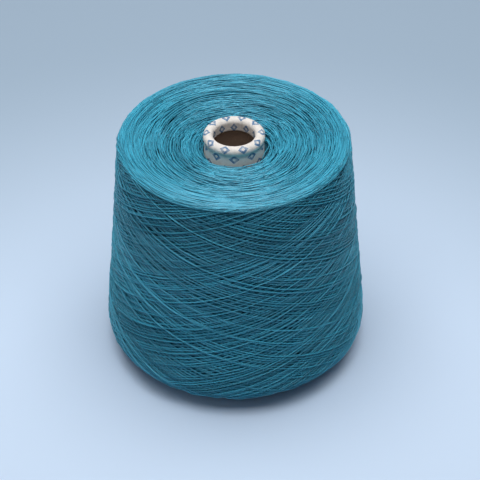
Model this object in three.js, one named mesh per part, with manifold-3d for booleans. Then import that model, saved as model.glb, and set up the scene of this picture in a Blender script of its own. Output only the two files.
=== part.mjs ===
// A cone of knitting yarn: crosswound yarn on a tapered paper cone with a turned-in nose.
// Millimetres, +Z up. The origin is the centre of the ring that the cone stands on.
// Every body of revolution is a closed (radius, height) profile turned about Z.

import * as THREE from "three";
import { mergeVertices } from "three/addons/utils/BufferGeometryUtils.js";
import Module from "manifold-3d";

const { degToRad } = THREE.MathUtils;

// Paper cone
const coneLength = 170;
const coneHalfAngle = degToRad(4 + 20 / 60);
const baseRadius = 31.3; // outside of the kraft board at the base
const wallThickness = 3;
const coverThickness = 0.4; // printed outer ply
const glueGap = 0.1;
const coverBaseHeight = 0.6; // the printed ply stops short of the base edge

// Turned-in nose: a round bead, and a lip that runs down inside the bore
const beadRadius = 3.35; // outside of the printed ply
const beadCentreRadius = 17;
const lipEndHeight = 161.5;

// Notch in the base edge that holds the yarn's inner end
const notchWidth = 2.4;
const notchHeight = 3.2;
const notchAngle = degToRad(118);

// Wound yarn
const windingGap = 0.2; // between the yarn and the paper
const traverse = 152; // length of the winding along the cone
const windingBase = 6; // height of the yarn's lowest turn at the cone
const baseShoulderRadius = 90.5;
const baseShoulderHeight = 8;
const baseShoulderRound = 13;
const noseShoulderRadius = 76.5;
const noseShoulderHeight = 166.3;
const noseShoulderRound = 3.5;

// Transfer tail: the first turns of the yarn, below the package
const yarnDiameter = 0.6;
const tailTurns = 3;
const tailPitch = 0.95;
const tailStartHeight = 2.1;
const tailGap = 0.3;

// Facets
const around = 64;
const beadSteps = 10;
const shoulderSteps = 7;
const yarnSides = 6;
const tailStepsPerTurn = 40;

const beadCentreHeight = coneLength - beadRadius;
const coverOffset = glueGap + coverThickness;

/** Radius at a height of the surface that lies a given distance outside the kraft board. */
function coneRadius(height, offset = 0) {
  return baseRadius + offset / Math.cos(coneHalfAngle) - height * Math.tan(coneHalfAngle);
}

/** Points of an arc in the (radius, height) plane. */
function arc(centre, radius, from, to, steps) {
  return Array.from({ length: steps + 1 }, (_, i) => {
    const angle = from + ((to - from) * i) / steps;
    return new THREE.Vector2(
      centre.x + radius * Math.cos(angle),
      centre.y + radius * Math.sin(angle),
    );
  });
}

/** The nose bead from the groove under it, over the top and down to its innermost point. */
function bead(offset) {
  const radius = beadRadius - coverOffset + offset;
  const centre = new THREE.Vector2(beadCentreRadius, beadCentreHeight);
  const toWall =
    coneRadius(0, offset) * Math.cos(coneHalfAngle) -
    centre.x * Math.cos(coneHalfAngle) -
    centre.y * Math.sin(coneHalfAngle);
  const groove = coneHalfAngle - Math.acos(toWall / radius);
  return arc(centre, radius, groove, Math.PI, beadSteps);
}

/** The outside of the cone at an offset, from a height near the base to the end of the lip. */
function coneSkin(offset, fromHeight, lipEnd) {
  const nose = bead(offset);
  return [
    new THREE.Vector2(coneRadius(fromHeight, offset), fromHeight),
    ...nose,
    new THREE.Vector2(nose.at(-1).x, lipEnd),
  ];
}

/** Turns a closed profile about Z. */
function turned(profile) {
  const closed = [...profile, profile[0]];
  return new THREE.LatheGeometry(closed, around).rotateX(Math.PI / 2);
}

function kraftCoreGeometry() {
  return turned([
    ...coneSkin(0, 0, lipEndHeight),
    new THREE.Vector2(coneRadius(lipEndHeight) - wallThickness, lipEndHeight),
    new THREE.Vector2(coneRadius(0) - wallThickness, 0),
  ]);
}

function printedCoverGeometry() {
  const outside = coneSkin(coverOffset, coverBaseHeight, lipEndHeight);
  const inside = coneSkin(glueGap, coverBaseHeight, lipEndHeight);
  return turned([...outside, ...inside.reverse()]);
}

function yarnPackageGeometry() {
  const paper = coverOffset + windingGap;
  const windingTop = windingBase + traverse;
  const baseCentre = new THREE.Vector2(
    baseShoulderRadius - baseShoulderRound,
    baseShoulderHeight + baseShoulderRound,
  );
  const noseCentre = new THREE.Vector2(
    noseShoulderRadius - noseShoulderRound,
    noseShoulderHeight - noseShoulderRound,
  );
  const sideAngle = Math.atan2(
    baseShoulderRadius - noseShoulderRadius,
    noseCentre.y - baseCentre.y,
  );
  return turned([
    new THREE.Vector2(coneRadius(windingBase, paper), windingBase),
    ...arc(baseCentre, baseShoulderRound, -Math.PI / 2, sideAngle, shoulderSteps),
    ...arc(noseCentre, noseShoulderRound, sideAngle, Math.PI / 2, shoulderSteps),
    new THREE.Vector2(coneRadius(windingTop, paper), windingTop),
  ]);
}

/** The first turns of the yarn: a helix that starts at the notch and climbs the cone. */
class TailCurve extends THREE.Curve {
  getPoint(t, target = new THREE.Vector3()) {
    const angle = notchAngle + t * tailTurns * 2 * Math.PI;
    const height = tailStartHeight + t * tailTurns * tailPitch;
    const radius = coneRadius(height, coverOffset + tailGap) + yarnDiameter / 2;
    return target.set(radius * Math.cos(angle), radius * Math.sin(angle), height);
  }
}

function transferTailGeometry() {
  const section = new THREE.Shape(
    Array.from({ length: yarnSides }, (_, i) => {
      const angle = (i / yarnSides) * 2 * Math.PI;
      return new THREE.Vector2(Math.cos(angle), Math.sin(angle)).multiplyScalar(yarnDiameter / 2);
    }),
  );
  return new THREE.ExtrudeGeometry(section, {
    steps: Math.ceil(tailTurns * tailStepsPerTurn),
    extrudePath: new TailCurve(),
  });
}

/** The V-shaped block that the notch takes out of the base edge. */
function notchGeometry() {
  const outline = new THREE.Shape([
    new THREE.Vector2(-notchWidth, -notchHeight),
    new THREE.Vector2(notchWidth, -notchHeight),
    new THREE.Vector2(0, notchHeight),
  ]);
  const depth = 4 * wallThickness;
  return new THREE.ExtrudeGeometry(outline, { depth, bevelEnabled: false })
    .rotateX(Math.PI / 2)
    .rotateZ(Math.PI / 2)
    .translate(baseRadius - depth / 2, 0, 0)
    .rotateZ(notchAngle);
}

const wasm = await Module();
wasm.setup();

/** A geometry as a manifold-3d solid, from its positions alone. */
function solid(geometry) {
  const bare = geometry.clone();
  bare.deleteAttribute("normal");
  bare.deleteAttribute("uv");
  const merged = mergeVertices(bare, 1e-3);
  return new wasm.Manifold(
    new wasm.Mesh({
      numProp: 3,
      vertProperties: new Float32Array(merged.attributes.position.array),
      triVerts: new Uint32Array(merged.index.array),
    }),
  );
}

/** A manifold-3d solid as a geometry. */
function geometryOf(manifold) {
  const { vertProperties, triVerts } = manifold.getMesh();
  const geometry = new THREE.BufferGeometry()
    .setAttribute("position", new THREE.BufferAttribute(vertProperties, 3))
    .setIndex(new THREE.BufferAttribute(triVerts, 1));
  geometry.computeVertexNormals();
  return geometry;
}

const notch = solid(notchGeometry());

function notched(geometry) {
  return geometryOf(solid(geometry).subtract(notch));
}

const kraftBoard = new THREE.MeshStandardMaterial({ color: 0x6a5a4c, roughness: 0.9 });
const printedPaper = new THREE.MeshStandardMaterial({ color: 0xd9d0c4, roughness: 0.65 });
const tealYarn = new THREE.MeshStandardMaterial({ color: 0x2f7f96, roughness: 0.8 });

const yarnCone = new THREE.Group();

function addPiece(name, geometry, material) {
  const mesh = new THREE.Mesh(geometry, material);
  mesh.name = name;
  yarnCone.add(mesh);
}

addPiece("kraft_core", notched(kraftCoreGeometry()), kraftBoard);
addPiece("printed_cover", notched(printedCoverGeometry()), printedPaper);
addPiece("yarn_package", yarnPackageGeometry(), tealYarn);
addPiece("transfer_tail", transferTailGeometry(), tealYarn);

export default yarnCone;
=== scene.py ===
"""The looks of a cone of knitting yarn: one strand wound to and fro on a tapered paper cone.

Sizes are in metres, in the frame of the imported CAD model: the cone stands on Z = 0 and its
axis is Z. Every surface of revolution is described along its outline, a line of (radius,
height) points, so that a place on it is an angle, a length along the outline and a lift.
"""

import math

import bmesh
import bpy
import numpy as np
from bpy.props import FloatProperty, FloatVectorProperty, IntProperty, PointerProperty
from mathutils import Matrix, Vector


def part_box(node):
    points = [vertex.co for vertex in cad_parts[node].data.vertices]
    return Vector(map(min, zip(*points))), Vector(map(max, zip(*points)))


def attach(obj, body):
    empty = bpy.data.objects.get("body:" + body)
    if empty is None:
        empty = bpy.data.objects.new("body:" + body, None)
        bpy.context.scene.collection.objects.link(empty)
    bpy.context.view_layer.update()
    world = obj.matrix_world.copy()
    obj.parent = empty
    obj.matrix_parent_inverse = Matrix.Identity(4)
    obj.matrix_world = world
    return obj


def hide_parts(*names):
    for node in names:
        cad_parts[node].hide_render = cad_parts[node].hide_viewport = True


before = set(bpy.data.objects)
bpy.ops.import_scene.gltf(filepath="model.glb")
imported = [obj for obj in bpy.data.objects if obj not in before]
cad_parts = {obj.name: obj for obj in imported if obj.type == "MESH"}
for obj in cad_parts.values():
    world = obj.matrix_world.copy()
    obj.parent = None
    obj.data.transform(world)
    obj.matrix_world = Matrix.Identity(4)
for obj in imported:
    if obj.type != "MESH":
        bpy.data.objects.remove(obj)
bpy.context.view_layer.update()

bl_info = {
    "name": "Yarn cone",
    "version": (1, 0, 0),
    "blender": (4, 5, 0),
    "location": "3D View > Sidebar > Yarn cone",
    "description": "Winds a cone of knitting yarn on its paper cone",
    "category": "Add Mesh",
}

TURN = 2 * math.pi
STRAND_SIDES = 4
PLY_PITCH = 0.0026  # length of yarn in which its two plies turn half round
OUTLINE_SPACING = 0.0002  # between the samples along the package's outline
NOSE_ARC_STEPS = 24
BASE_ARC_STEPS = 48
BEAD_STEPS = 36
LIP_STEPS = 8
THICKNESS_RANGE = (0.9, 1.08)  # least and most mean thickness of a stretch, of the strand's
THICKNESS_NOISE = 0.04
CAP_MERGE = 1e-7  # closes a tube's caps
POLE_MERGE = 1e-6  # closes a spun surface

DAYLIGHT = (0.97, 0.985, 1.0)
SKY = (0.62, 0.76, 0.95, 1.0)
SKY_STRENGTH = 0.02
LAMP_AIM = (0, 0, 0.1)
LAMPS = (  # name, place, width and depth, watts
    ("top_back", (0.0, 0.3, 1.6), (1.6, 0.7), 16),
    ("top_front", (0.0, -0.35, 1.6), (1.6, 0.7), 13.5),
    ("front", (0.0, -1.1, 1.1), (1.6, 0.6), 1.5),
    ("back", (0.0, 1.6, 0.45), (3.0, 0.6), 5.2),
    ("left", (-1.4, -0.1, 0.7), (0.8, 0.8), 1.2),
)
FLOOR_HALF_WIDTH = 6
FLOOR_LIGHT_POOL_MIDDLE = 0.16  # how far the middle of the pool of light painted on the floor lies in front of the object
FLOOR_PAINTED_FALLOFF = (0.18, 0.56)  # distances from there at which the painted light starts and ends to fall off to the darker floor
SENSOR_WIDTH = 36  # millimetres

CORE_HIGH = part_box("kraft_core")[1]
COVER_LOW, COVER_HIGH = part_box("printed_cover")
PACKAGE_LOW, PACKAGE_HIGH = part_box("yarn_package")


# ---------------------------------------------------------------- sizes and colours


def length(name, description, default):
    """A length in metres that a user may change."""
    return FloatProperty(
        name=name,
        description=description,
        default=default,
        precision=5,
        subtype="DISTANCE",
        unit="LENGTH",
    )


def angle(name, description, degrees):
    """An angle that a user may change."""
    return FloatProperty(
        name=name, description=description, default=math.radians(degrees), subtype="ANGLE"
    )


def colour(name, description, default):
    """A linear colour that a user may change."""
    return FloatVectorProperty(
        name=name, description=description, default=default, subtype="COLOR", min=0, max=1
    )


class ConeSizes(bpy.types.PropertyGroup):
    """The paper cone that the yarn is wound on."""

    half_angle: angle("Half angle", "Slope of the cone's wall", 4 + 20 / 60)
    wall: length("Wall", "Thickness of the kraft board", 0.003)
    ply: length("Printed ply", "Thickness of the printed paper", 0.0004)
    glue_gap: length("Glue gap", "Room between the board and the printed ply", 0.0001)
    bead_radius: length("Bead radius", "Radius of the rolled nose bead", 0.00335)
    bead_centre: length("Bead centre", "Distance of the bead's middle from the axis", 0.017)
    lip_end: length("Lip end", "Height at which the turned-in lip ends", 0.1615)
    marks_round: IntProperty(
        name="Marks round", description="Printed marks in each row round the cone", default=10
    )
    row_pitch: length("Row pitch", "Distance between rows of printed marks", 0.0078)
    rows_askew: length("Rows askew", "How far the rows run out of level", 0.0013)
    seam_angle: angle("Seam", "Where the printed ply's edge laps over itself", 8)
    seam_height: length("Seam height", "How far the lapped edge stands proud", 0.00022)
    notch_width: length("Notch width", "Half the width of the notch's block at its foot", 0.0024)
    notch_height: length("Notch height", "Height of the notch in the base edge", 0.0032)
    notch_angle: angle("Notch angle", "Where the notch lies round the base", 118)


class YarnSizes(bpy.types.PropertyGroup):
    """The yarn and how it is wound."""

    strand: length("Strand", "Diameter of the yarn", 0.00074)
    passes: IntProperty(
        name="Passes", description="Passes laid from shoulder to shoulder", default=860
    )
    nose_shoulder: length("Nose shoulder", "Radius of the nose shoulder", 0.0765)
    nose_round: length("Nose rounding", "Rounding of the nose shoulder", 0.0035)
    base_round: length("Base rounding", "Rounding of the base shoulder", 0.013)
    base_shoulder: length("Base shoulder", "Height of the base shoulder's lowest point", 0.008)
    neck_height: length("Neck height", "Height where the nose face meets the cone", 0.158)
    winding_gap: length("Winding gap", "Room between the yarn and the paper", 0.0002)


class Colours(bpy.types.PropertyGroup):
    """Colours of the finishes."""

    # The yarn's two colours are a lit and a shaded copy of one dye. Strands take random tones
    # between them, which is painted shade and highlight between strands, over a slight real
    # melange of fibres.
    yarn: colour("Yarn", "The yarn's lighter fibres", (0.058, 0.455, 0.63))
    yarn_dark_and_shaded: colour("Yarn, deep", "The yarn's darker fibres", (0.016, 0.185, 0.285))
    paper: colour("Paper", "The printed ply's ground", (0.81, 0.76, 0.71))
    paper_stain: colour("Paper stain", "Mottling of the printed ply", (0.62, 0.54, 0.47))
    ink: colour("Ink", "The printed marks", (0.035, 0.155, 0.33))
    kraft: colour("Kraft", "The kraft board", (0.46, 0.33, 0.25))
    kraft_fibre: colour("Kraft fibre", "Fibres in the kraft board", (0.30, 0.21, 0.155))
    # Painted light on the floor: a pale pool round the object that fades to a darker colour
    # further off.
    floor: colour("Floor", "The floor round the object", (0.62, 0.74, 0.90))
    floor_painted_dim: colour("Far floor", "The floor further off", (0.385, 0.49, 0.605))


class StageSizes(bpy.types.PropertyGroup):
    """The camera and the floor."""

    distance: length("Distance", "Camera to the point that it looks at", 1.035)
    elevation: angle("Elevation", "Camera's height above the horizon", 39.5)
    roll: angle("Roll", "Camera's turn about its own axis", -0.42)
    aim_height: length("Aim height", "Height that the camera looks at", 0.0788)
    aim_side: length("Aim side", "Sideways place that the camera looks at", 0.0034)
    lens_ratio: FloatProperty(
        name="Lens", description="Focal length over the width of the view", default=3.125
    )


# ---------------------------------------------------------------- outlines


def arc(centre, radius, start, end, steps):
    """(radius, height) points of an arc, both ends included."""
    angles = np.linspace(start, end, steps + 1)
    return np.column_stack(
        (centre[0] + radius * np.cos(angles), centre[1] + radius * np.sin(angles))
    )


def cone_radius(cone, height, offset=0.0):
    """Radius at a height of the surface that lies a given distance outside the board."""
    slope = cone.half_angle
    return CORE_HIGH.x + offset / math.cos(slope) - height * math.tan(slope)


class Outline:
    """A surface of revolution, sampled evenly along its outline."""

    def __init__(self, points, spacing):
        steps = np.linalg.norm(np.diff(points, axis=0), axis=1)
        reached = np.concatenate(([0.0], np.cumsum(steps)))
        self.spacing = spacing
        self.length = reached[-1]
        self.along = np.arange(0.0, self.length, spacing)
        self.radius = np.interp(self.along, reached, points[:, 0])
        self.height = np.interp(self.along, reached, points[:, 1])
        outward = -np.gradient(self.height)
        upward = np.gradient(self.radius)
        size = np.hypot(outward, upward)
        self.outward = outward / size
        self.upward = upward / size

    def nearest(self, radius, height):
        """The length along the outline that is nearest to a point."""
        return self.along[np.argmin(np.hypot(self.radius - radius, self.height - height))]

    def place(self, angles, along, lift):
        """XYZ places at these angles, lengths along the outline and lifts above it."""
        radius = np.interp(along, self.along, self.radius)
        height = np.interp(along, self.along, self.height)
        radius = radius + lift * np.interp(along, self.along, self.outward)
        height = height + lift * np.interp(along, self.along, self.upward)
        return np.column_stack((radius * np.cos(angles), radius * np.sin(angles), height))


def package_points(cone, yarn):
    """The package's outline: out over the nose face, down the side and in to the foot."""
    paper = cone.glue_gap + cone.ply + yarn.winding_gap
    neck = (cone_radius(cone, yarn.neck_height, paper), yarn.neck_height)
    foot = (cone_radius(cone, PACKAGE_LOW.z, paper), PACKAGE_LOW.z)
    nose_centre = (yarn.nose_shoulder - yarn.nose_round, PACKAGE_HIGH.z - yarn.nose_round)
    base_centre = (PACKAGE_HIGH.x - yarn.base_round, yarn.base_shoulder + yarn.base_round)
    side = math.atan2(PACKAGE_HIGH.x - yarn.nose_shoulder, nose_centre[1] - base_centre[1])
    return np.vstack(
        (
            [neck],
            arc(nose_centre, yarn.nose_round, math.pi / 2, side, NOSE_ARC_STEPS),
            arc(base_centre, yarn.base_round, side, -math.pi / 2, BASE_ARC_STEPS),
            [foot],
        )
    )


def package_outline():
    """The package's outline at the spacing that the strands are laid at."""
    scene = bpy.context.scene
    return Outline(package_points(scene.cone_sizes, scene.yarn_sizes), OUTLINE_SPACING)


# ---------------------------------------------------------------- laying the strand


def rounded_ramp(share, ease):
    """From 0 to 1 at an even rate, with a soft start and a soft end."""
    start = share**2 / (2 * ease)
    end = (1 - ease) - (1 - share) ** 2 / (2 * ease)
    middle = share - ease / 2
    ramp = np.where(share < ease, start, np.where(share > 1 - ease, end, middle))
    return ramp / (1 - ease)


def smooth_noise(random, count, width):
    """Noise of about unit size that changes over a given number of samples."""
    kernel = np.hanning(2 * width + 1)
    raw = random.standard_normal(count + 2 * width)
    return np.convolve(raw, kernel / np.sqrt(np.sum(kernel**2)), mode="valid")


class SideWinding:
    """One long strand, laid to and fro on the side, each pass on what lies under it."""

    columns = 1200  # places round one turn
    reach = 9  # places on both sides over which the strand evens out what lies under it
    ease = 0.11  # share of a pass in which it turns round
    ride_over = 0.7  # how much of its radius the strand rides above that
    squeeze = 0.75  # how much of its radius a strand keeps where it is crossed
    lumps = 0.2  # how much of the winding's broad unevenness is left once it is packed tight
    proudest = 0.0016  # how far a taut strand can stand above its surroundings
    proudest_shoulder = 0.0004  # the same where it turns round
    sunk = 0.0003  # how far its surroundings lie under the package's outline
    shoulder = 0.008  # length beside the nose end where the strands turn round
    patch = (20, 15)  # places round and along over which unevenness counts as broad
    group = 6  # double passes that lie side by side before the next group starts elsewhere
    spread = math.sqrt(5) - 2  # share of a turn to the next group, which spreads them evenly
    neighbour = 0.0135  # share of a turn to the next double pass of a group
    unevenness = 0.0016  # how much those shares vary
    wander = 0.0006  # how far the places where it turns round vary
    waver = 0.00015  # how far it strays sideways on its way
    waver_places = 20  # places over which it strays
    base_reach = 0.8  # share of the base rounding that it winds round
    double_turns = 2  # turns round the cone in a double pass

    def __init__(self, outline, yarn, seed):
        self.outline = outline
        self.radius = yarn.strand / 2
        self.random = np.random.default_rng(seed)
        self.nose_end = outline.nearest(yarn.nose_shoulder - yarn.nose_round, PACKAGE_HIGH.z)
        self.base_end = outline.nearest(
            PACKAGE_HIGH.x - self.base_reach * yarn.base_round, yarn.base_shoulder
        )
        self.along = self.route(yarn)
        self.top = np.zeros((self.columns, len(outline.along)))
        self.lift = np.zeros(len(self.along))
        self.lay()

    def route(self, yarn):
        """Lengths along the outline at each place of the whole strand."""
        doubles = np.arange(yarn.passes // 2 + 1)
        starts = self.spread * (doubles // self.group) + self.neighbour * (doubles % self.group)
        starts = starts + self.random.normal(0, self.unevenness, len(doubles))
        parts = []
        start = self.nose_end
        for gain in np.diff(starts):
            turns = self.double_turns + (gain + 0.5) % 1 - 0.5
            for end in (self.base_end, self.nose_end):
                end = end + self.random.normal(0, self.wander)
                count = round(turns / 2 * self.columns)
                share = (np.arange(count) + 0.5) / count
                parts.append(start + (end - start) * rounded_ramp(share, self.ease))
                start = end
        along = np.concatenate(parts)
        return along + self.waver * smooth_noise(self.random, len(along), self.waver_places)

    def rows(self, places, offset=0):
        """Rows of the height grid under some places of the strand."""
        rows = np.rint(self.along[places] / self.outline.spacing).astype(int) + offset
        return np.clip(rows, 0, self.top.shape[1] - 1)

    def section(self):
        """Row offsets across the strand, and how high its squeezed section rises at each."""
        width = round(self.radius / self.outline.spacing)
        offsets = np.arange(-width, width + 1)
        rises = np.sqrt(np.maximum(0, self.radius**2 - (offsets * self.outline.spacing) ** 2))
        return zip(offsets, self.squeeze * rises)

    def support(self, places):
        """How high the strand's middle lies where it rests on the strands below."""
        heights = [
            self.top[places % self.columns, self.rows(places, offset)] + rise
            for offset, rise in self.section()
        ]
        return np.max(heights, axis=0)

    def tighten(self, support):
        """Evens out the strand's height, since a taut strand sinks into high spots."""
        kernel = np.hanning(2 * self.reach + 3)[1:-1]
        evened = np.convolve(support, kernel / kernel.sum(), mode="valid")
        return evened + self.ride_over * self.radius

    def press(self, places):
        """Raises the height grid by a stretch of strand that has been laid."""
        for offset, rise in self.section():
            cells = (places % self.columns, self.rows(places, offset))
            self.top[cells] = np.maximum(self.top[cells], self.lift[places] + rise)

    def lay(self):
        """Lays the strand half a turn at a time, one stretch behind raising the grid."""
        stretch = self.columns // 2
        previous = None
        for start in range(0, len(self.along), stretch):
            places = np.arange(start, min(start + stretch, len(self.along)))
            around = np.arange(places[0] - self.reach, places[-1] + self.reach + 1)
            around = np.clip(around, 0, len(self.along) - 1)
            self.lift[places] = self.tighten(self.support(around))
            if previous is not None:
                self.press(previous)
            previous = places
        self.press(previous)

    def broad(self):
        """The finished winding's height, evened out over a patch on all sides."""
        around, along = self.patch
        first, last = (round(end / self.outline.spacing) for end in (self.nose_end, self.base_end))
        wound = np.pad(
            self.top[:, first:last],
            ((0, 0), (first, self.top.shape[1] - last)),
            mode="edge",
        )
        wrapped = np.pad(wound, ((around, around), (0, 0)), mode="wrap")
        padded = np.pad(wrapped, ((0, 0), (along, along)), mode="edge")
        for axis, width in enumerate(self.patch):
            kernel = np.hanning(2 * width + 3)[1:-1]
            padded = np.apply_along_axis(
                np.convolve, axis, padded, kernel / kernel.sum(), mode="valid"
            )
        return padded

    def packed_lift(self):
        """The strand's height above the outline, with its relief kept and lumps packed flat."""
        broad = self.broad()
        everywhere = np.arange(len(self.along))
        rows = self.rows(everywhere)
        below = broad[everywhere % self.columns, rows]
        open_side = np.clip((self.along - self.nose_end) / self.shoulder, 0, 1)
        limit = self.proudest_shoulder + (self.proudest - self.proudest_shoulder) * open_side
        relief = limit * np.tanh((self.lift - below) / limit)
        lumps = self.lumps * open_side * (below - broad.mean(axis=0)[rows])
        return relief + lumps - self.sunk - self.radius

    def strands(self, step, keep_depth):
        """Visible stretches of the strand, as (angles, along, lift) arrays."""
        places = np.arange(0, len(self.along), step)
        depth = np.full(len(places), np.inf)
        for offset in range(-step // 2, step // 2 + 1, 2):
            near = np.clip(places + offset, 0, len(self.along) - 1)
            covered = self.top[near % self.columns, self.rows(near)] - self.lift[near]
            depth = np.minimum(depth, covered - self.radius * self.squeeze)
        shown = depth < keep_depth
        shown[1:] |= depth[:-1] < keep_depth
        shown[:-1] |= depth[1:] < keep_depth
        lift = self.packed_lift()
        edges = np.flatnonzero(np.diff(np.concatenate(([0], shown.astype(int), [0]))))
        for first, last in zip(edges[::2], edges[1::2]):
            run = places[first:last]
            if len(run) > 1:
                yield run * TURN / self.columns, self.along[run], lift[run]


class FaceWinding:
    """Turns of the strand on an end face, as small bundles of arcs.

    The arcs rise out of the package and sink into it again. Looseness goes from 0 at the
    shoulder to 1 at the cone, and tightness falls off fast from 1 at the shoulder.
    """

    tight_power = 4  # how fast tightness falls off
    usual_length = 0.040
    length_spread = 0.011
    shortest = 0.016
    tight_stretch = 2.5  # how much longer an arc is where it is tight, in lengths
    point_gap = 0.005  # between an arc's points
    loose_point_gap = 0.002  # how much of that is taken off where it is loose
    fewest_points = 7
    drift = (0.0006, 0.0016, 0.0008)  # spread of its slant: anywhere, if loose, if tight
    bow = (0.0004, 0.0008)  # spread of its curvature: anywhere, if loose
    wave = (0.00006, 0.00014)  # least and most height of its ripples
    loose_wave = 0.0007  # most height added where it is loose
    wave_pitch = (0.008, 0.02)
    hump = 0.00012  # how far it rises and falls on its way
    hump_pitch = 1.7  # in ripples
    depth = 0.0022  # of the deepest arc's middle
    tight_depth = 0.0014  # how much less it is where it is tight
    loose_depth = 0.0010  # how much more it is where it is loose
    dive = (0.0010, 0.0022)  # least and most depth that its ends sink further
    tight_dive = 0.6  # share of that taken off where it is tight
    dive_power = 2.6
    members = (2, 7)  # least number of arcs in a bundle, and one more than the most
    most_tight = 4  # one more than the most where it is tight
    tight_limit = 0.5
    slip = 0.006  # spread of the arcs' starts in a bundle
    beside = 2.3  # distance between neighbours, in strands
    beside_spread = 0.12
    uneven = 0.0003  # how far a neighbour can lie deeper

    def __init__(self, outline, random, inner, outer, strand):
        self.random = random
        self.inner = inner
        self.outer = outer
        self.strand = strand
        self.near = outline.radius[np.searchsorted(outline.along, inner)]
        self.far = outline.radius[np.searchsorted(outline.along, outer)]

    def arcs(self, bundles):
        """Every arc, as (angles, along, lift) arrays."""
        for _ in range(bundles):
            yield from self.bundle()

    def bundle(self):
        """The arcs of one bundle."""
        random = self.random
        middle_radius = math.sqrt(random.uniform(self.near**2, self.far**2))
        looseness = (self.far - middle_radius) / (self.far - self.near)
        tightness = (1 - looseness) ** self.tight_power
        share, travel = self.stretch(looseness, tightness)
        line, pitch = self.course(share, travel, looseness, tightness)
        turn = random.uniform(0, TURN)
        apex, dive, hump = self.profile(share, travel, pitch, looseness, tightness)
        least, most = self.members
        if tightness > self.tight_limit:
            most = self.most_tight
        for member in range(random.integers(least, most)):
            slip = random.normal(0, self.slip)
            aside = (member + random.normal(0, self.beside_spread)) * self.beside * self.strand
            lift = apex - random.uniform(0, self.uneven) - dive + hump
            angles = turn + (travel + slip) / middle_radius
            yield angles, np.clip(line + aside, *sorted((self.inner, self.outer))), lift

    def stretch(self, looseness, tightness):
        """Shares from -1 to 1 of an arc's points, and their distances from its middle."""
        usual = self.random.normal(self.usual_length, self.length_spread)
        size = max(self.shortest, usual * (1 + self.tight_stretch * tightness))
        gap = self.point_gap - self.loose_point_gap * looseness
        share = np.linspace(-1, 1, max(self.fewest_points, int(size / gap)))
        return share, share * size / 2

    def course(self, share, travel, looseness, tightness):
        """Lengths along the outline of a bundle's first arc, and the pitch of its ripples."""
        random = self.random
        anywhere, loose, tight = self.drift
        drift = random.normal(0, anywhere + loose * looseness + tight * tightness)
        anywhere, loose = self.bow
        bow = random.normal(0, anywhere + loose * looseness)
        wave = random.uniform(*self.wave) + self.loose_wave * looseness**2 * random.uniform(0, 1)
        pitch = random.uniform(*self.wave_pitch)
        ripple = wave * np.sin(TURN * (travel / pitch + random.uniform(0, 1)))
        centre = self.outer + (self.inner - self.outer) * looseness
        return centre + drift * share + bow * share**2 + ripple, pitch

    def profile(self, share, travel, pitch, looseness, tightness):
        """A bundle's lift at its middle, how far its ends dive, and its rise and fall."""
        random = self.random
        height = random.uniform(0, 1)
        deepest = self.depth - self.tight_depth * tightness + self.loose_depth * looseness**2
        dive = random.uniform(*self.dive) * (1 - self.tight_dive * tightness)
        phase = travel / (self.hump_pitch * pitch) + random.uniform(0, 1)
        hump = self.hump * np.sin(TURN * phase)
        return -height * deepest, dive * np.abs(share) ** self.dive_power, hump


# ---------------------------------------------------------------- making pieces


def link(mesh, name, material):
    """A mesh as an object of the scene, smooth all over."""
    mesh.name = name
    piece = bpy.data.objects.new(name, mesh)
    bpy.context.scene.collection.objects.link(piece)
    mesh.materials.clear()
    mesh.materials.append(material)
    mesh.shade_smooth()
    return piece


def settle(piece, slot, *nodes):
    """Puts a finished piece on the object's body, in the place of its CAD nodes."""
    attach(piece, "root")
    if nodes:
        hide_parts(*nodes)
    return piece


def strand_mesh(lines, diameter, random):
    """Lines of XYZ points as closed tubes, each with a random painted shade and a length of its
    own.
    """
    curve = bpy.data.curves.new("strands", "CURVE")
    curve.dimensions = "3D"
    curve.bevel_depth = diameter / 2
    curve.bevel_resolution = 0
    curve.use_fill_caps = True
    for points in lines:
        spline = curve.splines.new("POLY")
        spline.points.add(len(points) - 1)
        spline.points.foreach_set("co", np.column_stack((points, np.ones(len(points)))).ravel())
        thickness = random.uniform(*THICKNESS_RANGE)
        noise = THICKNESS_NOISE * random.standard_normal(len(points))
        spline.points.foreach_set("radius", thickness + noise)
    holder = bpy.data.objects.new("strands", curve)
    bpy.context.scene.collection.objects.link(holder)
    mesh = bpy.data.meshes.new_from_object(holder)
    bpy.data.objects.remove(holder)
    number = np.arange(len(lines))
    caps = np.repeat(number[::-1], 2 * STRAND_SIDES)
    rings = np.repeat(number, [STRAND_SIDES * len(points) for points in lines])
    owner = np.concatenate((caps, rings))
    spans = np.array([running_length(points)[-1] for points in lines])
    # Each tube's random value sets how dark it is painted, standing in for shade and highlight
    # between strands.
    for name, values in (("strand_shade", random.uniform(0, 1, len(lines))), ("span", spans)):
        kept = mesh.attributes.new(name, "FLOAT", "POINT")
        kept.data.foreach_set("value", values[owner].astype(np.float32))
    form = bmesh.new()
    form.from_mesh(mesh)
    bmesh.ops.remove_doubles(form, verts=form.verts, dist=CAP_MERGE)
    form.to_mesh(mesh)
    form.free()
    return mesh


def in_order(form):
    """Numbers a mesh's points and faces by place, so that every run numbers them alike."""
    for elements, place in (
        (form.verts, lambda vert: tuple(vert.co)),
        (form.faces, lambda face: sorted(vert.index for vert in face.verts)),
    ):
        ranks = {element: rank for rank, element in enumerate(sorted(elements, key=place))}
        elements.sort(key=ranks.get)
        elements.index_update()


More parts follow.
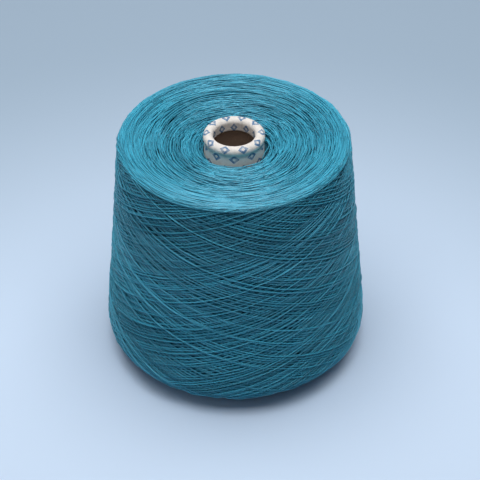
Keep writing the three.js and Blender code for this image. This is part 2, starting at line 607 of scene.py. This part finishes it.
def spun(points, steps, along):
    """A line of (radius, height) points, spun about Z, with each point's length along it."""
    form = bmesh.new()
    layer = form.verts.layers.float.new("along")
    chain = [form.verts.new((radius, 0, height)) for radius, height in points]
    for vert, value in zip(chain, along):
        vert[layer] = value
    edges = [form.edges.new(pair) for pair in zip(chain, chain[1:])]
    bmesh.ops.spin(
        form,
        geom=chain + edges,
        axis=(0, 0, 1),
        cent=(0, 0, 0),
        angle=TURN,
        steps=steps,
        use_merge=True,
    )
    bmesh.ops.remove_doubles(form, verts=form.verts, dist=POLE_MERGE)
    bmesh.ops.recalc_face_normals(form, faces=form.faces)
    in_order(form)
    return form


def press_outwards(form, lift):
    """Moves points away from the axis by a lift that depends on their angle and their along."""
    layer = form.verts.layers.float["along"]
    for vert in form.verts:
        radius = vert.co.xy.length
        scale = 1 + lift(math.atan2(vert.co.y, vert.co.x), vert[layer]) / radius
        vert.co.xy *= scale


def seam_step(angle, seam, height, fade):
    """The step of a lapped edge: highest just past the seam, then fading round the cone."""
    return height * math.exp(-((angle - seam) % TURN) / fade)


def mesh_of(form, name):
    """A finished bmesh as a mesh."""
    mesh = bpy.data.meshes.new(name)
    form.to_mesh(mesh)
    form.free()
    return mesh


def notched(mesh, cone):
    """A mesh with the V-shaped notch for the yarn's inner end cut in its base edge."""
    form = bmesh.new()
    depth = 4 * cone.wall  # well over the wall's thickness, so that the block passes through
    start = CORE_HIGH.x - depth / 2
    corners = [(-1, -1), (1, -1), (0, 1)]
    face = form.faces.new(
        [form.verts.new((start, x * cone.notch_width, z * cone.notch_height)) for x, z in corners]
    )
    grown = bmesh.ops.extrude_face_region(form, geom=[face])
    far = [item for item in grown["geom"] if isinstance(item, bmesh.types.BMVert)]
    bmesh.ops.translate(form, verts=far, vec=(depth, 0, 0))
    bmesh.ops.rotate(
        form, verts=form.verts, cent=(0, 0, 0), matrix=Matrix.Rotation(cone.notch_angle, 3, "Z")
    )
    bmesh.ops.recalc_face_normals(form, faces=form.faces)
    cutter = bpy.data.objects.new("notch", mesh_of(form, "notch"))
    blank = bpy.data.objects.new("blank", mesh)
    for item in (cutter, blank):
        bpy.context.scene.collection.objects.link(item)
    cut = blank.modifiers.new("notch", "BOOLEAN")
    cut.operation = "DIFFERENCE"
    cut.solver = "EXACT"
    cut.object = cutter
    result = bpy.data.meshes.new_from_object(
        blank.evaluated_get(bpy.context.evaluated_depsgraph_get())
    )
    for item in (cutter, blank):
        bpy.data.objects.remove(item)
    return result


# ---------------------------------------------------------------- materials


class Value:
    """A socket's value, on which sums can be written."""

    def __init__(self, finish, socket):
        self.finish = finish
        self.socket = socket

    def __add__(self, other):
        return self.finish.function("ADD", self, other)

    def __radd__(self, other):
        return self.finish.function("ADD", other, self)

    def __sub__(self, other):
        return self.finish.function("SUBTRACT", self, other)

    def __mul__(self, other):
        return self.finish.function("MULTIPLY", self, other)

    def __truediv__(self, other):
        return self.finish.function("DIVIDE", self, other)

    def __lt__(self, other):
        return self.finish.function("LESS_THAN", self, other)

    def __gt__(self, other):
        return self.finish.function("GREATER_THAN", self, other)


class Finish:
    """A material in the making: a Principled shader and the nodes that feed it."""

    def __init__(self, name, **plain):
        self.material = bpy.data.materials.new(name)
        self.material.use_nodes = True
        self.tree = self.material.node_tree
        self.shader = self.tree.nodes["Principled BSDF"]
        for socket, value in plain.items():
            self.feed(self.shader.inputs[socket.replace("_", " ")], value)

    def feed(self, socket, value):
        """Gives a socket a number or a link."""
        if isinstance(value, Value):
            self.tree.links.new(value.socket, socket)
        else:
            socket.default_value = value

    def add(self, kind, settings=None, inputs=None, output=0):
        """A node of a kind, with its settings made first, then its sockets filled."""
        node = self.tree.nodes.new("ShaderNode" + kind)
        for name, value in (settings or {}).items():
            if name == "stops":
                self.set_stops(node.color_ramp.elements, value)
            else:
                setattr(node, name, value)
        for socket, value in (inputs or {}).items():
            self.feed(node.inputs[socket], value)
        return Value(self, node.outputs[output])

    def set_stops(self, elements, stops):
        """Gives a colour ramp its stops of (place, grey)."""
        while len(elements) < len(stops):
            elements.new(1.0)
        for element, (place, grey) in zip(elements, stops):
            element.position = place
            element.color = (grey, grey, grey, 1)

    def function(self, operation, *values):
        """A Math node of one or more values, such as a sine."""
        return self.add("Math", {"operation": operation}, dict(enumerate(values)))

    def object_place(self):
        """Object coordinates, as a vector."""
        return self.add("TexCoord", output="Object")

    def parts(self, vector):
        """X, Y and Z of a vector."""
        split = self.tree.nodes.new("ShaderNodeSeparateXYZ")
        self.feed(split.inputs[0], vector)
        return [Value(self, output) for output in split.outputs]

    def noise(self, place, per_metre, detail=3.0, roughness=0.55):
        """Noise from 0 to 1, with a number of swells in each metre."""
        return self.add(
            "TexNoise",
            inputs={
                "Vector": place,
                "Scale": per_metre,
                "Detail": detail,
                "Roughness": roughness,
            },
        )

    def attribute(self, name):
        """A number that the mesh holds."""
        return self.add("Attribute", {"attribute_name": name}, output="Fac")

    def mix(self, share, first, second):
        """A colour between two, at a share of the way."""
        return self.add(
            "Mix",
            {"data_type": "RGBA"},
            {0: share, 6: opaque(first), 7: opaque(second)},
            output=2,
        )

    def rough(self, value):
        """Roughness that changes over the surface."""
        self.feed(self.shader.inputs["Roughness"], value)

    def colour(self, value):
        """The base colour."""
        self.feed(self.shader.inputs["Base Color"], value)

    def bump(self, height, distance):
        """A relief whose full height is a distance in metres."""
        relief = self.add("Bump", inputs={"Height": height, "Distance": distance})
        self.feed(self.shader.inputs["Normal"], relief)


def opaque(value):
    """A colour as four numbers, or a link as it is."""
    return value if isinstance(value, Value) else (*value, 1.0)


def yarn_finish():
    """Dyed staple yarn: two plies, with a soft gloss of fibres. Strands differ at random between a
    lit and a shaded colour, which is painted shade and highlight, over a slight real melange.
    """
    colours = bpy.context.scene.cone_colours
    finish = Finish("plied_yarn", Specular_IOR_Level=0.65)
    place = finish.object_place()
    # The strand's random painted shade.
    shade = finish.attribute("strand_shade")
    melange = finish.noise(place, per_metre=900, detail=4.0)
    along, around, _ = finish.parts(finish.add("UVMap"))
    twist = along * finish.attribute("span") / PLY_PITCH + around
    plies = finish.function("ABSOLUTE", finish.function("SINE", twist * math.pi))
    # Strand by strand this is painted shade and highlight. The melange and the plies are the
    # yarn's own tone.
    tone = shade * 0.8 + melange * 0.3 + plies * 0.1
    finish.colour(finish.mix(tone, colours.yarn_dark_and_shaded, colours.yarn))
    finish.rough(0.3 + melange * 0.18)
    fluff = finish.noise(place, per_metre=2600, detail=2.0)
    finish.bump(plies * 0.6 + fluff * 0.4, distance=0.00014)
    return finish.material


def bed_finish():
    """The yarn deep between the outer strands, coloured darker than the yarn: painted shade."""
    colours = bpy.context.scene.cone_colours
    finish = Finish("painted_shade_bed", Sheen_Weight=0.1, Specular_IOR_Level=0.1)
    place = finish.object_place()
    x, y, z = finish.parts(place)
    turn = finish.function("ARCTAN2", y, x)
    rows_per_metre, rows_round = 5200, 110
    rising = finish.function("SINE", z * rows_per_metre + turn * rows_round)
    falling = finish.function("SINE", z * rows_per_metre - turn * rows_round)
    weave = finish.function("MAXIMUM", rising, falling) * 0.5 + 0.5
    tone = finish.noise(place, per_metre=700) * 0.5 + weave * 0.3
    # Painted shade: the bed runs from the shaded yarn colour to a darker copy of it, because it
    # shows only in the gaps between strands.
    deep = [0.45 * part for part in colours.yarn_dark_and_shaded]
    finish.colour(finish.mix(tone, deep, colours.yarn_dark_and_shaded))
    finish.rough(0.8 + tone * 0.15)
    finish.bump(weave, distance=0.0005)
    return finish.material


def paper_finish():
    """Off-white paper with rows of small printed lozenges, set between each other's gaps."""
    scene = bpy.context.scene
    colours = scene.cone_colours
    cone = scene.cone_sizes
    finish = Finish("lapped_paper", Specular_IOR_Level=0.4)
    place = finish.object_place()
    x, y, _ = finish.parts(place)
    turn = finish.function("ARCTAN2", y, x) / TURN
    sine = finish.function("SINE", turn * TURN)
    row = (finish.attribute("along") + sine * cone.rows_askew) / cone.row_pitch
    row_number = finish.function("FLOOR", row)
    stagger = finish.function("FLOORED_MODULO", row_number, 2.0) * 0.5
    across = finish.function("FRACT", turn * cone.marks_round + stagger + 10.0) - 0.5
    down = row - row_number - 0.5
    half_width, half_height, hollow = 0.29, 0.41, 0.38  # the first two in shares of a space
    sideways = finish.function("ABSOLUTE", across) / half_width
    upwards = finish.function("ABSOLUTE", down) / half_height
    spread = sideways + upwards
    ragged = (finish.noise(place, per_metre=1500, detail=2.0) - 0.5) * 0.25
    edge = spread + ragged
    ink = (edge < 1.0) * (edge > hollow)
    mottle = finish.noise(place, per_metre=420, detail=5.0, roughness=0.65)
    stain = finish.add("ValToRGB", {"stops": ((0.45, 0.0), (0.75, 1.0))}, {"Fac": mottle})
    ground = finish.mix(stain * 0.55, colours.paper, colours.paper_stain)
    worn = finish.add("ValToRGB", {"stops": ((0.36, 0.55), (0.55, 1.0))}, {"Fac": mottle})
    finish.colour(finish.mix(ink * worn * 0.9, ground, colours.ink))
    finish.rough(0.48 + mottle * 0.25 - ink * 0.08)
    crease = finish.noise(place, per_metre=260, detail=3.0)
    finish.bump(crease * 0.7 + mottle * 0.3, distance=0.00035)
    return finish.material


def kraft_finish():
    """Rough brown-grey board, with long fibres wound round the cone."""
    colours = bpy.context.scene.cone_colours
    finish = Finish("rolled_board", Specular_IOR_Level=0.2)
    place = finish.object_place()
    stretched = finish.add("Mapping", inputs={"Vector": place, "Scale": (1.0, 1.0, 4.0)})
    fibre = finish.noise(stretched, per_metre=380, detail=6.0, roughness=0.7)
    speck = finish.add(
        "ValToRGB",
        {"stops": ((0.62, 0.0), (0.72, 1.0))},
        {"Fac": finish.noise(place, per_metre=1300, detail=2.0)},
    )
    board = finish.mix(fibre, colours.kraft_fibre, colours.kraft)
    pale = [min(1.0, 1.4 * part) for part in colours.kraft]
    finish.colour(finish.mix(speck * 0.5, board, pale))
    finish.rough(0.82 + fibre * 0.15)
    finish.bump(fibre, distance=0.0003)
    return finish.material


def floor_finish():
    """The pale floor, with a pool of light painted on it that fades to a darker colour further
    off.
    """
    colours = bpy.context.scene.cone_colours
    finish = Finish("floor_painted_light", Specular_IOR_Level=0.1)
    x, y, _ = finish.parts(finish.object_place())
    forward = y + FLOOR_LIGHT_POOL_MIDDLE
    off = finish.function("SQRT", x * x + forward * forward)
    start, end = FLOOR_PAINTED_FALLOFF
    # Painted falloff of light: darker with distance from the pool's middle.
    far = finish.add("MapRange", {"interpolation_type": "SMOOTHSTEP"}, {0: off, 1: start, 2: end})
    finish.colour(finish.mix(far, colours.floor, colours.floor_painted_dim))
    finish.rough(0.9)
    return finish.material


def material(name, make):
    """A material that is made once and then shared."""
    return bpy.data.materials.get(name) or make()


# ---------------------------------------------------------------- pieces


def add_strands(name, lines, strand, pieces, random):
    """Lines of yarn as a few numbered pieces of about equal size."""
    points = np.cumsum([len(line) for line in lines])
    owner = np.minimum(pieces * points // (points[-1] + 1), pieces - 1)
    for number in range(pieces):
        group = [line for line, own in zip(lines, owner) if own == number]
        mesh = strand_mesh(group, strand, random)
        piece = link(mesh, f"{name}_{number + 1}", material("plied_yarn", yarn_finish))
        settle(piece, "teal_yarn")


def nose_bead(cone, offset):
    """The bead from the groove under it, over the top and down to the end of the lip."""
    radius = cone.bead_radius - cone.glue_gap - cone.ply + offset
    centre = (cone.bead_centre, COVER_HIGH.z - cone.bead_radius)
    slope = cone.half_angle
    to_wall = (
        (cone_radius(cone, 0, offset) - centre[0]) * math.cos(slope)
        - centre[1] * math.sin(slope)
    )
    groove = slope - math.acos(to_wall / radius)
    bead = arc(centre, radius, groove, math.pi, BEAD_STEPS)
    lip_heights = np.linspace(bead[-1, 1], cone.lip_end, LIP_STEPS + 1)[1:]
    lip = np.column_stack((np.full(LIP_STEPS, bead[-1, 0]), lip_heights))
    return np.vstack((bead, lip))


def cone_skin(cone, offset, bottom, steps):
    """The cone's outside at an offset, from its base to the end of the lip."""
    nose = nose_bead(cone, offset)
    heights = np.linspace(bottom, nose[0, 1], steps)[:-1]
    wall = np.column_stack((cone_radius(cone, heights, offset), heights))
    return np.vstack((wall, nose))


def running_length(points):
    """How far along a line of points each of them lies."""
    steps = np.linalg.norm(np.diff(points, axis=0), axis=1)
    return np.concatenate(([0.0], np.cumsum(steps)))


class YARNCONE_OT_kraft_tube(bpy.types.Operator):
    """Roll the kraft board cone with its turned-in nose"""

    bl_idname = "yarncone.kraft_tube"
    bl_label = "Kraft tube"

    inner_seam = math.radians(60)
    edge = 0.0004  # thickness of the board's inner edge
    fade = 0.9  # radians over which the edge's step dies away
    wall_rows = 40
    bore_rows = 60
    around = 160

    def execute(self, context):
        cone = context.scene.cone_sizes
        outside = cone_skin(cone, 0.0, 0.0, self.wall_rows)
        bore_heights = np.linspace(cone.lip_end, 0.0, self.bore_rows)
        bore = np.column_stack((cone_radius(cone, bore_heights) - cone.wall, bore_heights))
        loop = np.vstack((outside, bore, outside[:1]))
        lip_length = running_length(outside)[-1]
        form = spun(loop, self.around, running_length(loop) - lip_length)

        def inner_edge(turn, past_lip):
            """The board's inner edge, which runs up the bore."""
            if past_lip <= self.edge:
                return 0
            return -seam_step(turn, self.inner_seam, self.edge, self.fade)

        press_outwards(form, inner_edge)
        tube = link(
            notched(mesh_of(form, "kraft_tube"), cone),
            "kraft_tube",
            material("rolled_board", kraft_finish),
        )
        settle(tube, "kraft_board", "kraft_core")
        return {"FINISHED"}


class YARNCONE_OT_printed_ply(bpy.types.Operator):
    """Roll the printed paper round the board and over the bead"""

    bl_idname = "yarncone.printed_ply"
    bl_label = "Printed ply"

    fold_height = 0.00012
    fold_reach = 0.007  # how far the folds run from the lip's end
    fold_width = 4  # in steps round the cone
    seam_fade = 0.5  # radians over which the lapped edge's step dies away
    wall_rows = 60
    around = 288
    seed = 5

    def execute(self, context):
        cone = context.scene.cone_sizes
        outer = cone_skin(cone, cone.glue_gap + cone.ply, COVER_LOW.z, self.wall_rows)
        inner = cone_skin(cone, cone.glue_gap, COVER_LOW.z, self.wall_rows)[::-1]
        loop = np.vstack((outer, inner, outer[:1]))
        rows = running_length(outer)
        rows = rows[-1] - np.concatenate((rows, rows[::-1], rows[:1]))
        form = spun(loop, self.around, rows)
        folds = smooth_noise(np.random.default_rng(self.seed), self.around, self.fold_width)

        def creases(turn, from_lip):
            """The lapped edge, and small folds where the paper is turned in at the nose."""
            place = round((turn / TURN) % 1 * len(folds)) % len(folds)
            crimped = math.exp(-((from_lip / self.fold_reach) ** 2))
            lap = seam_step(turn, cone.seam_angle, cone.seam_height, self.seam_fade)
            return lap + self.fold_height * folds[place] * crimped

        press_outwards(form, creases)
        ply = link(
            notched(mesh_of(form, "printed_ply"), cone),
            "printed_ply",
            material("lapped_paper", paper_finish),
        )
        settle(ply, "printed_paper", "printed_cover")
        return {"FINISHED"}


class YARNCONE_OT_bed(bpy.types.Operator):
    """Fill the package under the outer strands"""

    bl_idname = "yarncone.bed"
    bl_label = "Winding bed"

    depth = 0.0034  # under the package's outline
    innermost = 0.0205  # radius that keeps it off the paper
    every = 12  # samples of the outline between its rows
    around = 192

    def execute(self, context):
        outline = package_outline()
        keep = slice(0, None, self.every)
        inset = outline.place(np.zeros(len(outline.along)), outline.along, -self.depth)[keep]
        points = inset[:, [0, 2]]
        points[:, 0] = np.maximum(points[:, 0], self.innermost)
        loop = np.vstack((points, points[:1]))
        mesh = mesh_of(spun(loop, self.around, running_length(loop)), "winding_bed")
        bed = link(mesh, "winding_bed", material("painted_shade_bed", bed_finish))
        settle(bed, "teal_yarn", "yarn_package")
        return {"FINISHED"}


class YARNCONE_OT_side_winding(bpy.types.Operator):
    """Wind the strand to and fro on the package's side"""

    bl_idname = "yarncone.side_winding"
    bl_label = "Side winding"

    pieces = 4
    step = 10  # places of the strand between its points
    keep_depth = 0.001  # how deep a strand can lie and still be made
    seed = 7
    shade_seed = 11

    def execute(self, context):
        yarn = context.scene.yarn_sizes
        outline = package_outline()
        winding = SideWinding(outline, yarn, self.seed)
        stretches = winding.strands(self.step, self.keep_depth)
        lines = [outline.place(*stretch) for stretch in stretches]
        random = np.random.default_rng(self.shade_seed)
        add_strands("side_winding", lines, yarn.strand, self.pieces, random)
        return {"FINISHED"}


class YARNCONE_OT_nose_winding(bpy.types.Operator):
    """Wind the turns that show on the nose face"""

    bl_idname = "yarncone.nose_winding"
    bl_label = "Nose face winding"

    bundles = 640
    strand = 0.00072
    over_shoulder = 0.0045  # how far the turns reach round the shoulder
    from_cone = 0.0006
    pieces = 3
    seed = 23

    def execute(self, context):
        yarn = context.scene.yarn_sizes
        outline = package_outline()
        random = np.random.default_rng(self.seed)
        shoulder = outline.nearest(yarn.nose_shoulder - yarn.nose_round, PACKAGE_HIGH.z)
        outer = shoulder + self.over_shoulder
        winding = FaceWinding(outline, random, self.from_cone, outer, self.strand)
        lines = [outline.place(*turn) for turn in winding.arcs(self.bundles)]
        add_strands("nose_winding", lines, self.strand, self.pieces, random)
        return {"FINISHED"}


class YARNCONE_OT_base_winding(bpy.types.Operator):
    """Wind the turns that show on the base face"""

    bl_idname = "yarncone.base_winding"
    bl_label = "Base face winding"

    bundles = 560
    short_of_shoulder = 0.004
    from_cone = 0.0006
    pieces = 2
    seed = 31

    def execute(self, context):
        yarn = context.scene.yarn_sizes
        outline = package_outline()
        random = np.random.default_rng(self.seed)
        shoulder = outline.nearest(PACKAGE_HIGH.x - yarn.base_round, yarn.base_shoulder)
        foot = outline.along[-1] - self.from_cone
        outer = shoulder - self.short_of_shoulder
        winding = FaceWinding(outline, random, foot, outer, yarn.strand)
        lines = [outline.place(*turn) for turn in winding.arcs(self.bundles)]
        add_strands("base_winding", lines, yarn.strand, self.pieces, random)
        return {"FINISHED"}


class YARNCONE_OT_tail(bpy.types.Operator):
    """Wind the two-ply transfer tail on the foot of the cone"""

    bl_idname = "yarncone.tail"
    bl_label = "Transfer tail"

    turns = 3.0
    pitch = 0.00095
    start_height = 0.0021
    notch_run = 0.004  # how far the end reaches in through the notch
    strand = 0.0006
    gap = 0.0003
    ply_thickness = 0.54  # of the strand
    twist_pitch = 0.0028
    spacing = 0.00025  # between its points
    climb_turn = 0.5  # radians in which it climbs into the package
    climb_power = 1.5
    climb_points = 80
    smoothing = 15  # points over which its corners are rounded
    seed = 41

    def execute(self, context):
        cone = context.scene.cone_sizes
        path = self.path(cone)
        outwards = path * (1, 1, 0) / np.linalg.norm(path[:, :2], axis=1)[:, None]
        twist = TURN * running_length(path) / self.twist_pitch
        swing = (1 - self.ply_thickness) / 2 * self.strand
        plies = []
        for start in (0.0, math.pi):
            aside = swing * np.cos(twist + start)[:, None] * outwards
            raised = swing * np.sin(twist + start)[:, None] * (0, 0, 1)
            plies.append(path + aside + raised)
        random = np.random.default_rng(self.seed)
        mesh = strand_mesh(plies, self.ply_thickness * self.strand, random)
        tail = link(mesh, "twisted_tail", material("plied_yarn", yarn_finish))
        settle(tail, "teal_yarn", "transfer_tail")
        return {"FINISHED"}

    def path(self, cone):
        """The tail's middle line: in through the notch, round the foot, up into the package."""
        offset = cone.glue_gap + cone.ply + self.gap + self.strand / 2
        around = np.arange(0, self.turns * TURN, self.spacing / CORE_HIGH.x)
        heights = self.start_height + self.pitch * around / TURN
        rise = np.linspace(0, 1, self.climb_points)
        around = np.append(around, around[-1] + self.climb_turn * rise)
        climb = PACKAGE_LOW.z + self.strand - heights[-1]
        heights = np.append(heights, heights[-1] + climb * rise**self.climb_power)
        radii = cone_radius(cone, heights, offset)
        inside = np.arange(radii[0] - cone.wall - self.notch_run, radii[0], self.spacing)
        angles = cone.notch_angle + np.append(np.zeros(len(inside)), around)
        radii = np.append(inside, radii)
        lead = np.linspace(self.strand, heights[0], len(inside))
        heights = np.append(lead, heights)
        line = np.column_stack((radii * np.cos(angles), radii * np.sin(angles), heights))
        kernel = np.hanning(self.smoothing) / np.hanning(self.smoothing).sum()
        margin = self.smoothing // 2
        padded = np.pad(line, ((margin, margin), (0, 0)), mode="edge")
        return np.column_stack([np.convolve(axis, kernel, mode="valid") for axis in padded.T])


# ---------------------------------------------------------------- stage


def add_light(name, place, size, watts):
    """A soft rectangular lamp at a place, aimed at the object and not seen by the camera."""
    lamp = bpy.data.lights.new(name, "AREA")
    lamp.shape = "RECTANGLE"
    lamp.size, lamp.size_y = size
    lamp.energy = watts
    lamp.color = DAYLIGHT
    holder = bpy.data.objects.new(name, lamp)
    holder.location = place
    holder.rotation_euler = (Vector(LAMP_AIM) - Vector(place)).to_track_quat("-Z", "Y").to_euler()
    holder.visible_camera = False
    bpy.context.scene.collection.objects.link(holder)


class YARNCONE_OT_stage(bpy.types.Operator):
    """Set the floor, the lights and the camera"""

    bl_idname = "yarncone.stage"
    bl_label = "Stage"

    def execute(self, context):
        self.floor()
        self.lights(context.scene)
        self.camera(context.scene)
        return {"FINISHED"}

    def floor(self):
        """A level floor, whose finish paints a pool of light fading out round the object."""
        form = bmesh.new()
        bmesh.ops.create_grid(form, x_segments=1, y_segments=1, size=FLOOR_HALF_WIDTH)
        floor = link(mesh_of(form, "floor"), "floor", material("floor_painted_light", floor_finish))

    def lights(self, scene):
        """Broad soft light from above, weaker from the front, the back and the left."""
        world = bpy.data.worlds.new("studio")
        world.use_nodes = True
        background = world.node_tree.nodes["Background"]
        background.inputs["Color"].default_value = SKY
        background.inputs["Strength"].default_value = SKY_STRENGTH
        scene.world = world
        for lamp in LAMPS:
            add_light(*lamp)
        scene.view_settings.view_transform = "Standard"

    def camera(self, scene):
        """The camera, in front of the object and above it."""
        stage = scene.stage_sizes
        lens = bpy.data.cameras.new("camera")
        lens.sensor_width = SENSOR_WIDTH
        lens.lens = stage.lens_ratio * SENSOR_WIDTH
        holder = bpy.data.objects.new("camera", lens)
        back = Vector((0, -math.cos(stage.elevation), math.sin(stage.elevation)))
        aim = Vector((stage.aim_side, 0, stage.aim_height))
        holder.location = aim + back * stage.distance
        turn = (-back).to_track_quat("-Z", "Y").to_matrix()
        tilt = turn.copy()
        cosine, sine = math.cos(stage.roll), math.sin(stage.roll)
        right, up = turn.col[0].copy(), turn.col[1].copy()
        tilt.col[0] = cosine * right + sine * up
        tilt.col[1] = cosine * up - sine * right
        holder.rotation_euler = tilt.to_euler()
        scene.collection.objects.link(holder)
        scene.camera = holder


class YARNCONE_PT_panel(bpy.types.Panel):
    """The yarn cone's pieces, in the sidebar"""

    bl_idname = "YARNCONE_PT_panel"
    bl_label = "Yarn cone"
    bl_space_type = "VIEW_3D"
    bl_region_type = "UI"
    bl_category = "Yarn cone"

    def draw(self, context):
        for operator in OPERATORS:
            self.layout.operator(operator.bl_idname)


OPERATORS = (
    YARNCONE_OT_kraft_tube,
    YARNCONE_OT_printed_ply,
    YARNCONE_OT_bed,
    YARNCONE_OT_side_winding,
    YARNCONE_OT_nose_winding,
    YARNCONE_OT_base_winding,
    YARNCONE_OT_tail,
    YARNCONE_OT_stage,
)
GROUPS = {
    "cone_sizes": ConeSizes,
    "yarn_sizes": YarnSizes,
    "cone_colours": Colours,
    "stage_sizes": StageSizes,
}
CLASSES = (*GROUPS.values(), *OPERATORS, YARNCONE_PT_panel)


def register():
    """Adds the classes and the scene's settings."""
    for cls in CLASSES:
        bpy.utils.register_class(cls)
    for name, group in GROUPS.items():
        setattr(bpy.types.Scene, name, PointerProperty(type=group))


def unregister():
    """Takes the classes and the settings away again."""
    for name in GROUPS:
        delattr(bpy.types.Scene, name)
    for cls in reversed(CLASSES):
        bpy.utils.unregister_class(cls)


def main():
    """Makes the pieces and the stage in order."""
    register()
    for operator in OPERATORS:
        family, name = operator.bl_idname.split(".")
        getattr(getattr(bpy.ops, family), name)()


if __name__ == "__main__":
    main()
